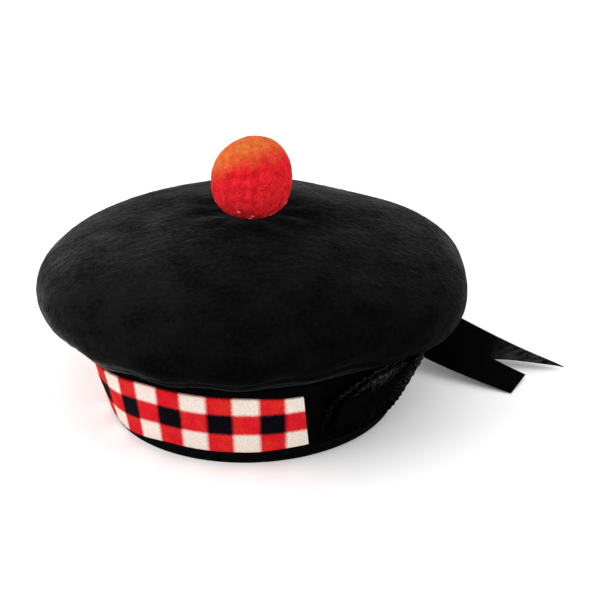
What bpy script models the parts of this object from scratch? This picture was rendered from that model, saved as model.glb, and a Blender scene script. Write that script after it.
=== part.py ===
"""A balmoral bonnet: a wide felt crown on a diced headband, with a wool toorie, a silk cockade
and two ribbon tails.

The front looks along -Y and the wearer's left is +X. The origin is the middle of the head
opening, in the plane of the lower rim that the bonnet rests on. Lengths are in metres. Angles
round the bonnet are in degrees, 0 at the front and 90 at the wearer's left.
"""
import math
import random

import bmesh
import bpy
from mathutils import Vector

# Clearance between two pieces that touch
GAP = 0.0003

# Head opening, and the wool wall round it, which leans out by the flare for each unit of height
HEAD_LENGTH = 0.1860
HEAD_WIDTH = 0.1720
BAND_WALL = 0.0022
BAND_FLARE = 0.29

# Binding: the tape folded over the headband's lower edge. The dicing on it dips near the front,
# where only the dip's height of binding shows. The dip is flat, and then rises to where it ends.
BINDING_HEIGHT = 0.0090
BINDING_THICKNESS = 0.0010
DIP_HEIGHT = 0.0024
DIP_ANGLE = -12.0
DIP_FLAT = 17.0
DIP_SPREAD = 47.0

# Dicing: the checked band, from its start near the back seam to its end before the cockade.
# It is a straight strip round a leaning wall, so its end stands square only at one angle. Past
# the narrowing's start its upper edge comes down, and its lower edge up, until its end.
DICING_HEIGHT = 0.0450
DICING_THICKNESS = 0.0016
DICING_CORNER = 0.0005
DICING_START = -171.0
DICING_END = 81.2
DICING_SQUARE = 42.0
NARROWING_START = 62.0
NARROWING_TOP = 0.0022
NARROWING_FOOT = 0.0016

# The headband ends a little above the dicing, where the crown is sewn to it
BAND_MARGIN = 0.0060
BAND_HEIGHT = BINDING_HEIGHT + DICING_HEIGHT + BAND_MARGIN

# Crown: the felt shell, seen from above and in section. The powers shape its section: over 1
# they flatten the rim's turn, under 1 they fill the shoulder.
CROWN_LENGTH = 0.2800
CROWN_WIDTH = 0.2680
UNDER_HEIGHT = 0.0250
DOME_HEIGHT = 0.0460
FELT_WALL = 0.0024
DOME_SPREAD = 1.33
DOME_RISE = 0.85
UNDER_SPREAD = 1.25
UNDER_DROP = 0.95
PEAK_FORWARD = 0.0020
DIMPLE_DEPTH = 0.0045
DIMPLE_RADIUS = 0.0170
PUCKER_COUNT = 9
PUCKER_DEPTH = 0.0010
PUCKER_RADIUS = 0.0310
PUCKER_SPREAD = 0.0110
GATHER_COUNT = 18
GATHER_DEPTH = 0.0022

# How the rim sways, a row for each 30 degrees from the front by way of the wearer's left.
# lift is a share of the underside's height, reach a share of the crown's half width.
RIM_SWAY = (
    {"lift": 0.06, "reach": 0.000},
    {"lift": 0.10, "reach": -0.005},
    {"lift": 0.20, "reach": -0.010},
    {"lift": 0.34, "reach": -0.033},
    {"lift": -0.04, "reach": 0.014},
    {"lift": 0.00, "reach": -0.015},
    {"lift": -0.04, "reach": 0.013},
    {"lift": -0.16, "reach": 0.004},
    {"lift": 0.08, "reach": 0.000},
    {"lift": 0.00, "reach": 0.000},
    {"lift": -0.04, "reach": 0.005},
    {"lift": -0.02, "reach": 0.000},
)

# Toorie: the wool pompom, whose locks stand out from the clefts between them
TOORIE_DIAMETER = 0.0515
TOORIE_HEIGHT = 0.0520
LOCK_DEPTH = 0.0012
LOCK_SCATTER = 0.0005
LOCK_SEED = 7

# Cockade: two ruffled layers of silk behind a flat tab, behind the dicing's end and between the
# binding and the crown. Its ends stand off the headband, by the stand halfway up, and by the
# opening's share more at the top and less at the bottom. The blunter it is, the more its outline
# fills its corners. The front layer is smaller than the back one by the steps.
COCKADE_WIDTH = 0.0860
COCKADE_SETBACK = 0.0075
COCKADE_CLEARANCE = 0.0016
COCKADE_STAND = 0.0055
COCKADE_OPENING = 0.70
COCKADE_BLUNTNESS = 0.35
SILK = 0.0012
SCALLOP = 0.02
RUFFLE_DEPTH = 0.0022
RUFFLE_CURL = 1.5
RUFFLE_COUNT = 14
RUFFLE_SPACING = 0.0028
FRONT_RUFFLE_COUNT = 11
FRONT_RUFFLE_END_STEP = 0.0105
FRONT_RUFFLE_SIDE_STEP = 0.0025
TAB_WIDTH = 0.0230
TAB_LENGTH = 0.0250
TAB_RISE = 0.0022
TAB_SETBACK = 0.0075
TAB_LIFT = 0.0020
TAB_BEVEL = 0.0012

# Ribbon tails, sewn side by side on the back of the headband, just before the dicing's start
RIBBON_WIDTH = 0.0254
RIBBON_THICKNESS = 0.0010
RIBBON_SETBACK = 0.0036
RIBBON_SPAN = 0.1000
RIBBON_FOOT = 0.0004
RIBBON_FALL = 0.83
RIBBON_TIP_BANK = 84.0
RIBBON_BANK_RUN = 0.1200
SEWN_LENGTH = 0.0175

# layer counts from the headband out. root_height is a share of the headband's height. tip_side
# and tip_back go from the tail's root to its tip as shares of the span, tip_heading is in degrees
# from straight back toward the wearer's left, and slant is a share of the ribbon's width.
RIBBON_TAILS = (
    {"name": "ribbon_front", "layer": 0, "root_height": 0.342, "tip_side": 1.010,
     "tip_back": 0.515, "tip_heading": 52.0, "slant": 0.10},
    {"name": "ribbon_rear", "layer": 1, "root_height": 0.500, "tip_side": 1.027,
     "tip_back": 0.770, "tip_heading": 58.0, "slant": 1.34},
)

# Facets, and the steepest edges that are still shaded smooth, in degrees
RING_SEGMENTS = 72
DICING_SEGMENTS = 60
DOME_RINGS = 10
UNDER_RINGS = 7
TOORIE_FINENESS = 4
RUFFLE_RINGS = 4
RUFFLE_SEGMENTS = 5
TAB_STEPS = 4
RIBBON_STEPS = 16
RIBBON_STRIPS = 2
SMOOTH_ANGLE = 40.0
LOCK_SMOOTH_ANGLE = 80.0


def clear_scene():
    for item in list(bpy.data.objects):
        bpy.data.objects.remove(item, do_unlink=True)


def material(name, colour, roughness):
    """A Principled material with one colour."""
    result = bpy.data.materials.new(name)
    result.use_nodes = True
    shader = result.node_tree.nodes["Principled BSDF"]
    shader.inputs["Base Color"].default_value = (*colour, 1.0)
    shader.inputs["Roughness"].default_value = roughness
    shader.inputs["Metallic"].default_value = 0.0
    result.diffuse_color = (*colour, 1.0)
    return result


def add_piece(name, vertices, faces, finish, smooth_angle=SMOOTH_ANGLE):
    """Adds one closed mesh as an object, with its faces pointing out."""
    mesh = bpy.data.meshes.new(name)
    mesh.from_pydata([tuple(v) for v in vertices], [], faces)
    work = bmesh.new()
    work.from_mesh(mesh)
    bmesh.ops.recalc_face_normals(work, faces=work.faces)
    work.to_mesh(mesh)
    work.free()
    mesh.materials.append(finish)
    mesh.shade_smooth()
    mesh.set_sharp_from_angle(angle=math.radians(smooth_angle))
    piece = bpy.data.objects.new(name, mesh)
    bpy.context.scene.collection.objects.link(piece)
    return piece


def bridge_rows(rows, closed_around, closed_along):
    """Faces between rows of vertex numbers that all have the same count."""
    faces = []
    row_pairs = len(rows) if closed_along else len(rows) - 1
    for i in range(row_pairs):
        row, following = rows[i], rows[(i + 1) % len(rows)]
        steps = len(row) if closed_around else len(row) - 1
        for j in range(steps):
            k = (j + 1) % len(row)
            faces.append((row[j], row[k], following[k], following[j]))
    return faces


def smooth_step(value):
    value = min(max(value, 0.0), 1.0)
    return value * value * (3.0 - 2.0 * value)


def oval_point(half_length, half_width, angle, height, out=0.0):
    """A point of an oval with its long axis along Y, moved straight out of it by out."""
    turn = math.radians(angle)
    normal = Vector((math.sin(turn) / half_width, -math.cos(turn) / half_length, 0.0)).normalized()
    place = Vector((half_width * math.sin(turn), -half_length * math.cos(turn), height))
    return place + normal * out


def band_point(angle, height, out):
    """A point at a height above the rim, out from the headband's outer face."""
    lean = BAND_FLARE * height
    return oval_point(HEAD_LENGTH / 2 + lean, HEAD_WIDTH / 2 + lean, angle, height, BAND_WALL + out)


def band_speed(angle, height):
    """Length along the headband's outer face for each degree."""
    step = 0.5
    ahead = band_point(angle + step, height, 0.0)
    behind = band_point(angle - step, height, 0.0)
    return (ahead - behind).length / (2 * step)


def band_radius(height):
    """The headband's mean outer radius at a height."""
    return (HEAD_LENGTH + HEAD_WIDTH) / 4 + BAND_WALL + BAND_FLARE * height


def binding_height(angle):
    """The height of the binding's upper edge, where the dicing stands."""
    from_dip = abs((angle - DIP_ANGLE + 180.0) % 360.0 - 180.0)
    risen = smooth_step((from_dip - DIP_FLAT) / (DIP_SPREAD - DIP_FLAT))
    return DIP_HEIGHT + (BINDING_HEIGHT - DIP_HEIGHT) * risen


def band_sweep(name, section_at, finish, closed, segments):
    """Sweeps a section along the headband. section_at gives its (angle, height, out) points at a
    share of the way."""
    vertices = []
    rows = []
    for i in range(segments if closed else segments + 1):
        section = section_at(i / segments)
        rows.append(list(range(len(vertices), len(vertices) + len(section))))
        vertices += [band_point(angle, height, out) for angle, height, out in section]
    faces = bridge_rows(rows, closed_around=True, closed_along=closed)
    if not closed:
        faces += [tuple(reversed(rows[0])), tuple(rows[-1])]
    piece = add_piece(name, vertices, faces, finish)
    short_diagonals = piece.modifiers.new("short_diagonals", "TRIANGULATE")
    short_diagonals.quad_method = "SHORTEST_DIAGONAL"
    return piece


def make_headband():
    foot = BINDING_THICKNESS + GAP

    def section_at(share):
        angle = 360.0 * share
        return [(angle, foot, 0.0), (angle, BAND_HEIGHT / 2, 0.0), (angle, BAND_HEIGHT, 0.0),
                (angle, BAND_HEIGHT, -BAND_WALL), (angle, BAND_HEIGHT / 2, -BAND_WALL),
                (angle, foot, -BAND_WALL)]

    finish = material("black_wool", colour=(0.012, 0.012, 0.014), roughness=0.95)
    return band_sweep("headband", section_at, finish, True, RING_SEGMENTS)


def make_binding():
    """A tape folded round the headband's lower edge, with its foot flat on the surface."""
    near = GAP
    far = GAP + BINDING_THICKNESS

    def section_at(share):
        angle = 360.0 * share
        high = binding_height(angle)
        outside = [(angle, 0.0, far), (angle, high, far), (angle, high, near),
                   (angle, BINDING_THICKNESS, near)]
        inside = [(angle, BINDING_THICKNESS, -BAND_WALL - near),
                  (angle, BINDING_HEIGHT, -BAND_WALL - near),
                  (angle, BINDING_HEIGHT, -BAND_WALL - far), (angle, 0.0, -BAND_WALL - far)]
        return outside + inside

    finish = material("black_tape", colour=(0.010, 0.010, 0.012), roughness=0.6)
    return band_sweep("binding", section_at, finish, True, RING_SEGMENTS)


def dicing_end(height):
    """The angle of the dicing's end at a height."""
    middle = band_radius(BINDING_HEIGHT + GAP + DICING_HEIGHT / 2)
    return DICING_SQUARE + (DICING_END - DICING_SQUARE) * middle / band_radius(height)


def make_dicing_band():
    """The checked band, which stands on the binding and lies on the headband."""
    near = GAP
    far = GAP + DICING_THICKNESS

    def angle_at(share, height):
        return DICING_START + (dicing_end(height) - DICING_START) * share

    def section_at(share):
        angle = angle_at(share, BINDING_HEIGHT)
        narrowed = smooth_step((angle - NARROWING_START) / (DICING_END - NARROWING_START))
        foot = binding_height(angle) + GAP
        low = foot + NARROWING_FOOT * narrowed
        high = foot + DICING_HEIGHT - NARROWING_TOP * narrowed
        section = [(low, near), (low, far - DICING_CORNER), (low + DICING_CORNER, far),
                   (high - DICING_CORNER, far), (high, far - DICING_CORNER), (high, near)]
        return [(angle_at(share, height), height, out) for height, out in section]

    finish = material("diced_wool", colour=(0.60, 0.06, 0.07), roughness=0.9)
    return band_sweep("dicing_band", section_at, finish, False, DICING_SEGMENTS)


def rim_sway(angle, column):
    """Reads a column of the sway table at any angle, along a smooth closed curve."""
    count = len(RIM_SWAY)
    place = (angle % 360.0) / 360.0 * count
    row = int(math.floor(place)) % count
    share = place - math.floor(place)
    before, here, after, beyond = (RIM_SWAY[(row + i) % count][column] for i in (-1, 0, 1, 2))
    slope_here = (after - before) / 2
    slope_after = (beyond - here) / 2
    rise = after - here
    bend = 3 * rise - 2 * slope_here - slope_after
    twist = slope_here + slope_after - 2 * rise
    return here + share * (slope_here + share * (bend + share * twist))


def crown_skin(angle, turn):
    """A point of the crown's outer skin. turn is 90 at the middle of the top, 0 at the rim and
    -90 at the mouth, where the underside lies on the headband."""
    wave = math.radians(angle)
    rim_height = BAND_HEIGHT + UNDER_HEIGHT
    lift = rim_sway(angle, "lift") * UNDER_HEIGHT
    reach = rim_sway(angle, "reach") * CROWN_WIDTH / 2
    rise = math.sin(math.radians(abs(turn)))
    spread = max(math.cos(math.radians(turn)), 0.0)
    rim_length = CROWN_LENGTH / 2 + reach
    rim_width = CROWN_WIDTH / 2 + reach
    if turn >= 0:
        share = spread ** DOME_SPREAD
        half_length = rim_length * share
        half_width = rim_width * share
        height = rim_height + DOME_HEIGHT * rise ** DOME_RISE + lift * share ** 2
        from_middle = (half_length + half_width) / 2
        height -= DIMPLE_DEPTH * math.exp(-(from_middle / DIMPLE_RADIUS) ** 2)
        pucker = 0.5 - 0.5 * math.cos(PUCKER_COUNT * wave)
        ring = math.exp(-((from_middle - PUCKER_RADIUS) / PUCKER_SPREAD) ** 2)
        height -= PUCKER_DEPTH * pucker * ring
    else:
        share = spread ** UNDER_SPREAD
        mouth = BAND_FLARE * BAND_HEIGHT
        mouth_length = HEAD_LENGTH / 2 + mouth
        mouth_width = HEAD_WIDTH / 2 + mouth
        half_length = mouth_length + (rim_length - mouth_length) * share
        half_width = mouth_width + (rim_width - mouth_width) * share
        height = rim_height - (UNDER_HEIGHT - GAP) * rise ** UNDER_DROP + lift * share
        gather = 0.5 - 0.5 * math.cos(GATHER_COUNT * wave)
        height += GATHER_DEPTH * gather * math.sin(math.radians(-2.0 * turn)) ** 2
    place = oval_point(half_length, half_width, angle, height)
    if turn > 0:
        place.y -= PEAK_FORWARD * (1.0 - share)
    return place


def crown_lining_face(angle, turn):
    """The point of the inner skin behind a point of the outer skin."""
    step = 1.0
    place = crown_skin(angle, turn)
    if turn <= -90.0:
        return place + Vector((0.0, 0.0, FELT_WALL))
    around = crown_skin(angle + step, turn) - crown_skin(angle - step, turn)
    along = crown_skin(angle, max(turn - step, -90.0)) - crown_skin(angle, turn + step)
    outward = along.cross(around).normalized()
    return place - outward * FELT_WALL


def make_crown():
    angles = [360.0 * i / RING_SEGMENTS for i in range(RING_SEGMENTS)]
    turns = [90.0 - 90.0 * i / DOME_RINGS for i in range(1, DOME_RINGS + 1)]
    turns += [-90.0 * i / UNDER_RINGS for i in range(1, UNDER_RINGS + 1)]
    middle = crown_skin(0.0, 90.0)
    vertices = [middle]
    rows = []
    for turn in turns:
        rows.append(list(range(len(vertices), len(vertices) + RING_SEGMENTS)))
        vertices += [crown_skin(angle, turn) for angle in angles]
    for turn in reversed(turns):
        rows.append(list(range(len(vertices), len(vertices) + RING_SEGMENTS)))
        vertices += [crown_lining_face(angle, turn) for angle in angles]
    vertices.append(middle - Vector((0.0, 0.0, FELT_WALL)))
    faces = bridge_rows(rows, closed_around=True, closed_along=False)
    last = len(vertices) - 1
    for i in range(RING_SEGMENTS):
        k = (i + 1) % RING_SEGMENTS
        faces.append((0, rows[0][k], rows[0][i]))
        faces.append((last, rows[-1][i], rows[-1][k]))
    finish = material("black_felt", colour=(0.014, 0.014, 0.016), roughness=0.95)
    return add_piece("crown", vertices, faces, finish)


def ball_points(fineness):
    """A ball of triangles: the ways to its points, and its faces."""
    ball = bmesh.new()
    bmesh.ops.create_icosphere(ball, subdivisions=fineness, radius=1.0)
    ways = [point.co.normalized() for point in ball.verts]
    faces = [tuple(point.index for point in face.verts) for face in ball.faces]
    ball.free()
    return ways, faces


def make_toorie():
    """A ball whose coarse points are the tips of locks and whose finer points are the clefts."""
    same_way = 0.99999
    chance = random.Random(LOCK_SEED)
    tips = ball_points(TOORIE_FINENESS - 1)[0]
    ways, faces = ball_points(TOORIE_FINENESS)
    centre = crown_skin(0.0, 90.0) + Vector((0.0, 0.0, GAP + TOORIE_HEIGHT / 2))
    squash = TOORIE_HEIGHT / TOORIE_DIAMETER
    vertices = []
    for way in ways:
        is_tip = any(way.dot(tip) > same_way for tip in tips)
        reach = TOORIE_DIAMETER / 2
        reach -= chance.uniform(0.0, LOCK_SCATTER) if is_tip else LOCK_DEPTH
        vertices.append(centre + Vector((way.x, way.y, way.z * squash)) * reach)
    finish = material("red_wool", colour=(0.62, 0.05, 0.03), roughness=0.95)
    return add_piece("toorie", vertices, faces, finish, LOCK_SMOOTH_ANGLE)


def cockade_length():
    """The cockade's size up the wall, which fills the wall from the binding to the crown."""
    wall = (BAND_HEIGHT - BINDING_HEIGHT) * math.hypot(1.0, BAND_FLARE)
    return (wall - 2 * COCKADE_CLEARANCE) / (1.0 + SCALLOP)


def cockade_point(side, rise, out):
    """A point side along the headband and rise up its wall from the cockade's middle. The cockade
    is stiffer than the headband is round, so its two ends stand off."""
    middle_height = (BINDING_HEIGHT + BAND_HEIGHT) / 2
    from_end = COCKADE_SETBACK + COCKADE_WIDTH / 2 + side
    angle = DICING_END + from_end / band_speed(DICING_END, middle_height)
    height = middle_height + rise / math.hypot(1.0, BAND_FLARE)
    opening = 1.0 + COCKADE_OPENING * rise / (cockade_length() / 2)
    stand = COCKADE_STAND * (side / (COCKADE_WIDTH / 2)) ** 2 * opening
    return band_point(angle, height, out + stand)


def blunt(wave):
    """Widens a sine or cosine, so that the oval that they draw fills its corners."""
    return math.copysign(abs(wave) ** (1.0 - COCKADE_BLUNTNESS), wave)


def ruffle_layer(name, width, length, count, base, finish):
    """A sheet of silk, flat in the middle and waved towards its edge."""
    segments = count * RUFFLE_SEGMENTS
    vertices = []
    rows = []
    for face_side in (1, 0):
        rings = range(1, RUFFLE_RINGS + 1)
        for ring in rings if face_side else reversed(rings):
            share = ring / RUFFLE_RINGS
            rows.append(list(range(len(vertices), len(vertices) + segments)))
            for i in range(segments):
                turn = 2 * math.pi * i / segments
                wave = 0.5 - 0.5 * math.cos(count * turn)
                out = base + RUFFLE_DEPTH * wave * share ** RUFFLE_CURL + SILK * face_side
                reach = share * (1.0 + SCALLOP * math.cos(count * turn))
                side = width / 2 * reach * blunt(math.cos(turn))
                rise = length / 2 * reach * blunt(math.sin(turn))
                vertices.append(cockade_point(side, rise, out))
    first = len(vertices)
    vertices += [cockade_point(0.0, 0.0, base + SILK), cockade_point(0.0, 0.0, base)]
    faces = bridge_rows(rows, closed_around=True, closed_along=False)
    for i in range(segments):
        k = (i + 1) % segments
        faces.append((first, rows[0][k], rows[0][i]))
        faces.append((first + 1, rows[-1][i], rows[-1][k]))
    return add_piece(name, vertices, faces, finish)


def tab_border(bevel):
    """The tab's border as places along and up the wall, drawn in by the bevel."""
    half_width = TAB_WIDTH / 2 - bevel
    half_length = TAB_LENGTH / 2 - bevel
    steps = [2.0 * i / TAB_STEPS - 1.0 for i in range(TAB_STEPS)]
    half = [(share * half_width, -half_length) for share in steps]
    half += [(half_width, share * half_length) for share in steps]
    return half + [(-side, -rise) for side, rise in half]


def cockade_tab(name, low, high, finish):
    """The flat tab, from the back layer out past the front one."""
    tab_middle = (TAB_WIDTH - COCKADE_WIDTH) / 2 + TAB_SETBACK
    vertices = []
    rows = []
    for out, bevel in ((low, 0.0), (high - SILK / 2, 0.0), (high, TAB_BEVEL)):
        border = tab_border(bevel)
        rows.append(list(range(len(vertices), len(vertices) + len(border))))
        for side, rise in border:
            vertices.append(cockade_point(tab_middle + side, TAB_LIFT + rise, out))
    faces = bridge_rows(rows, closed_around=True, closed_along=False)
    faces += [tuple(reversed(rows[0])), tuple(rows[-1])]
    return add_piece(name, vertices, faces, finish)


def fuse(base, others):
    """Joins the others to the base with unions, which leaves one body."""
    for other in others:
        union = base.modifiers.new(other.name, "BOOLEAN")
        union.operation = "UNION"
        union.solver = "EXACT"
        union.object = other
        other.hide_render = True
        other.display_type = "WIRE"


def make_cockade():
    finish = material("black_silk", colour=(0.012, 0.012, 0.015), roughness=0.35)
    length = cockade_length()
    front_base = GAP + RUFFLE_SPACING
    back = ruffle_layer("cockade", COCKADE_WIDTH, length, RUFFLE_COUNT, GAP, finish)
    front = ruffle_layer("front_ruffle", COCKADE_WIDTH - 2 * FRONT_RUFFLE_END_STEP,
                         length - 2 * FRONT_RUFFLE_SIDE_STEP, FRONT_RUFFLE_COUNT, front_base, finish)
    tab = cockade_tab("tab", GAP + SILK / 2, front_base + SILK + TAB_RISE, finish)
    fuse(back, [front, tab])
    return back


def ribbon_root(tail, degrees_on=0.0):
    """Where a tail's lower edge is sewn to the headband, or a place further along the wall."""
    height = tail["root_height"] * BAND_HEIGHT
    out = GAP + tail["layer"] * (RIBBON_THICKNESS + GAP)
    setback = RIBBON_SETBACK / band_speed(DICING_START, height)
    return band_point(DICING_START - setback - degrees_on, height, out)


def ribbon_reach(tail):
    """The straight way from a tail's root to its tip, seen from above."""
    return math.hypot(tail["tip_side"], tail["tip_back"]) * RIBBON_SPAN


def ribbon_route(tail, share):
    """The plan of a tail's lower edge, a curve that leaves the headband straight along it."""
    start = ribbon_root(tail)
    leaving = (ribbon_root(tail, degrees_on=1.0) - start).normalized()
    tip = start + Vector((tail["tip_side"], tail["tip_back"], 0.0)) * RIBBON_SPAN
    heading = math.radians(tail["tip_heading"])
    arriving = Vector((math.sin(heading), math.cos(heading), 0.0))
    first = start + leaving * SEWN_LENGTH
    second = tip - arriving * ribbon_reach(tail) / 2
    rest = 1.0 - share
    place = start * rest ** 3 + first * 3 * rest ** 2 * share
    return place + second * 3 * rest * share ** 2 + tip * share ** 3


def ribbon_frame(tail, share):
    """The lower edge's place, and the way across the tail's width."""
    step = 0.002
    place = ribbon_route(tail, share)
    ahead = ribbon_route(tail, min(share + step, 1.0))
    way = (ahead - ribbon_route(tail, max(share - step, 0.0))).normalized()
    turned = smooth_step(share * ribbon_reach(tail) / RIBBON_BANK_RUN)
    place.z = RIBBON_FOOT + (place.z - RIBBON_FOOT) * (1.0 - share) ** RIBBON_FALL
    root_bank = math.degrees(math.atan(BAND_FLARE))
    bank = math.radians(root_bank + (RIBBON_TIP_BANK - root_bank) * turned)
    left = Vector((-way.y, way.x, 0.0))
    across = Vector((0.0, 0.0, math.cos(bank))) + left * math.sin(bank)
    return place, across


def ribbon_length(tail):
    steps = 64
    places = [ribbon_frame(tail, i / steps)[0] for i in range(steps + 1)]
    return sum((places[i + 1] - places[i]).length for i in range(steps))


def ribbon_sheet(tail):
    """The places along and across a tail. It is longer along its upper edge, so its end slants."""
    shortening = tail["slant"] * RIBBON_WIDTH / ribbon_length(tail)
    sheet = []
    for i in range(RIBBON_STEPS + 1):
        row = []
        for j in range(RIBBON_STRIPS + 1):
            height = j / RIBBON_STRIPS
            share = i / RIBBON_STEPS * (1.0 - shortening * (1.0 - height))
            place, across = ribbon_frame(tail, share)
            row.append(place + across * RIBBON_WIDTH * height)
        sheet.append(row)
    return sheet


def make_ribbon(tail, finish):
    """A tail as a thin sheet."""
    sheet = ribbon_sheet(tail)
    vertices = []
    fronts = []
    backs = []
    for i, row in enumerate(sheet):
        following = sheet[min(i + 1, RIBBON_STEPS)]
        before = sheet[max(i - 1, 0)]
        front = []
        back = []
        for j, place in enumerate(row):
            along = following[j] - before[j]
            across = row[min(j + 1, RIBBON_STRIPS)] - row[max(j - 1, 0)]
            outward = across.cross(along).normalized()
            front.append(len(vertices))
            vertices.append(place + outward * RIBBON_THICKNESS)
            back.append(len(vertices))
            vertices.append(place)
        fronts.append(front)
        backs.append(back)
    loops = [front + list(reversed(back)) for front, back in zip(fronts, backs)]
    faces = bridge_rows(loops, closed_around=True, closed_along=False)
    for end, order in ((0, 1), (RIBBON_STEPS, -1)):
        for j in range(RIBBON_STRIPS):
            face = (fronts[end][j], fronts[end][j + 1], backs[end][j + 1], backs[end][j])
            faces.append(face[::order])
    return add_piece(tail["name"], vertices, faces, finish)


def make_ribbons():
    finish = material("black_ribbon", colour=(0.015, 0.015, 0.018), roughness=0.5)
    return [make_ribbon(tail, finish) for tail in RIBBON_TAILS]


clear_scene()
make_headband()
make_binding()
make_dicing_band()
make_crown()
make_toorie()
make_cockade()
make_ribbons()
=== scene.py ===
import math

import bmesh
import bpy
import numpy as np
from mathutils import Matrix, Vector, noise


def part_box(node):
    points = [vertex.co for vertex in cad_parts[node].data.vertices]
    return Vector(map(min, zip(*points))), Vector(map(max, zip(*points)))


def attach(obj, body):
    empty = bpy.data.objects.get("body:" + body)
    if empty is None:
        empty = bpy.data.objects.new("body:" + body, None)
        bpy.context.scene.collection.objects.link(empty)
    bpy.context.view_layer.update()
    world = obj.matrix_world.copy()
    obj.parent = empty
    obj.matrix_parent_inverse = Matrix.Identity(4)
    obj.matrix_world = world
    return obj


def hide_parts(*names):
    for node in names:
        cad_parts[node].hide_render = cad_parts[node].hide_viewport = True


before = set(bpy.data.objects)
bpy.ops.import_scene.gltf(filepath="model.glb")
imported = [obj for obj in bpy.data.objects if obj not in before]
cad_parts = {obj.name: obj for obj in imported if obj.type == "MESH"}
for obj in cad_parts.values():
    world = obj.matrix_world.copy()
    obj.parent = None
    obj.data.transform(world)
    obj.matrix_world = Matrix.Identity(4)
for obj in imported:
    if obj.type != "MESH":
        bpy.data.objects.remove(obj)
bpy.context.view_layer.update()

# The construction's own sizes, which the pieces here follow
GAP = 0.0003
HEAD_LENGTH = 0.1860
HEAD_WIDTH = 0.1720
BAND_WALL = 0.0022
BAND_FLARE = 0.29
BINDING_HEIGHT = 0.0090
BINDING_THICKNESS = 0.0010
DIP_HEIGHT = 0.0024
DIP_ANGLE = -12.0
DIP_FLAT = 17.0
DIP_SPREAD = 47.0
DICING_HEIGHT = 0.0450
DICING_THICKNESS = 0.0016
DICING_START = -171.0
DICING_END = 81.2
DICING_SQUARE = 42.0
NARROWING_START = 62.0
NARROWING_TOP = 0.0022
NARROWING_FOOT = 0.0016
BAND_HEIGHT = 0.0600
CROWN_LENGTH = 0.2800
CROWN_WIDTH = 0.2680
UNDER_HEIGHT = 0.0250
DOME_HEIGHT = 0.0460
FELT_WALL = 0.0024
DOME_SPREAD = 1.33
DOME_RISE = 0.85
UNDER_SPREAD = 1.25
UNDER_DROP = 0.95
PEAK_FORWARD = 0.0020
DIMPLE_DEPTH = 0.0045
DIMPLE_RADIUS = 0.0170
PUCKER_COUNT = 9
PUCKER_DEPTH = 0.0010
PUCKER_RADIUS = 0.0310
PUCKER_SPREAD = 0.0110
GATHER_COUNT = 18
GATHER_DEPTH = 0.0022
COCKADE_WIDTH = 0.0860
COCKADE_SETBACK = 0.0075
COCKADE_CLEARANCE = 0.0016
COCKADE_STAND = 0.0055
COCKADE_OPENING = 0.70
COCKADE_BLUNTNESS = 0.35
SILK = 0.0012
SCALLOP = 0.02
RUFFLE_DEPTH = 0.0022
RUFFLE_CURL = 1.5
RUFFLE_SPACING = 0.0028
FRONT_RUFFLE_END_STEP = 0.0105
FRONT_RUFFLE_SIDE_STEP = 0.0025
TAB_WIDTH = 0.0230
TAB_LENGTH = 0.0250
TAB_RISE = 0.0022
TAB_SETBACK = 0.0075
TAB_LIFT = 0.0020
RIBBON_WIDTH = 0.0254
RIBBON_THICKNESS = 0.0010
RIBBON_SETBACK = 0.0036
RIBBON_SPAN = 0.1000
RIBBON_FOOT = 0.0004
RIBBON_FALL = 0.83
RIBBON_TIP_BANK = 84.0
RIBBON_BANK_RUN = 0.1200
SEWN_LENGTH = 0.0175

# The rim's sway at each 30 degrees from the front by way of the wearer's left. lift is a share of
# the underside's height, reach a share of the crown's half width.
RIM_SWAY = {
    "lift": (0.06, 0.10, 0.20, 0.34, -0.04, 0.00, -0.04, -0.16, 0.08, 0.00, -0.04, -0.02),
    "reach": (0.0, -0.005, -0.010, -0.033, 0.014, -0.015, 0.013, 0.004, 0.0, 0.0, 0.005, 0.0),
}

# The two tails, with their places as shares of the span, the headband's height and the width.
# The last entry is how much the far end is lit by a painted highlight.
RIBBON_TAILS = (
    {"name": "ribbon_front", "layer": 0, "root_height": 0.342, "tip_side": 1.010,
     "tip_back": 0.515, "tip_heading": 52.0, "slant": 0.10, "painted_shine": 0.0},
    {"name": "ribbon_rear", "layer": 1, "root_height": 0.500, "tip_side": 1.027,
     "tip_back": 0.770, "tip_heading": 58.0, "slant": 1.34, "painted_shine": 1.0},
)

# Where the photograph was taken from
AIM = Vector((0.0, 0.0, 0.0600))
CAMERA_DISTANCE = 0.800
CAMERA_AZIMUTH = 62.3
CAMERA_ELEVATION = 26.08
CAMERA_LENS_MM = 73.06
CAMERA_SENSOR_MM = 36.0
CAMERA_SHIFT = (0.0767, 0.0157)

# Working limits, and how noise moves on with its seed
SHORTEST = 1e-12
SMALLEST_OVAL = 1e-7
MERGE_DISTANCE = 1e-6
SECTION_SAMPLES = 600
NOISE_STEPS = (7.3, 3.1, 5.7)

# Felt: how finely the crown is built, its waves, which fade toward the mouth, its tufts, with
# finer ones on them, and its pressed rim
FELT_SPACING = 0.0016
FELT_COLUMNS = 400
LINING_STRIDE = 3
FELT_WAVE = 0.0006
FELT_WAVE_SIZE = 0.0450
FELT_WAVE_FADE = 40.0
FELT_TUFT = 0.00022
FELT_TUFT_SIZE = 0.0050
FINER_TUFT_SHARE = 0.5
FINER_TUFT_RATIO = 2.3
WELT_HEIGHT = 0.0008
WELT_TURN = -47.0
WELT_SPREAD = 5.0
GROOVE_DEPTH = 0.0004
GROOVE_TURN = -38.0
GROOVE_SPREAD = 4.0
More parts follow.
